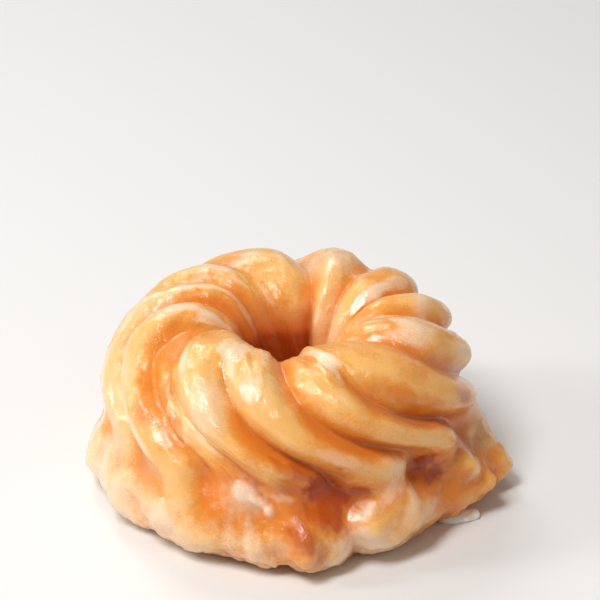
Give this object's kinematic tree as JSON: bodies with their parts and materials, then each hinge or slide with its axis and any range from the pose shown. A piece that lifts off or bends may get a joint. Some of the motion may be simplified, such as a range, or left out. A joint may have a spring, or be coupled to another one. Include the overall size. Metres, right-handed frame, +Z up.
{
  "type": "cruller doughnut",
  "caption": "Ring-shaped cruller with twisted, uneven piped ridges, a narrow middle hole and a lumpy spread foot, under a clear sugar glaze. It rests on its flat underside.",
  "frame": {"origin": "on the table, under the middle of the cruller's bounding box", "axes": "+Z up through the hole, -Y towards the front"},
  "size_m": [0.0902, 0.0866, 0.042],
  "materials": {
    "glazed_pastry": "glossy sugar glaze over golden fried crust"
  },
  "bodies": {
    "root": {"cruller": "glazed_pastry"}
  },
  "joints": []
}
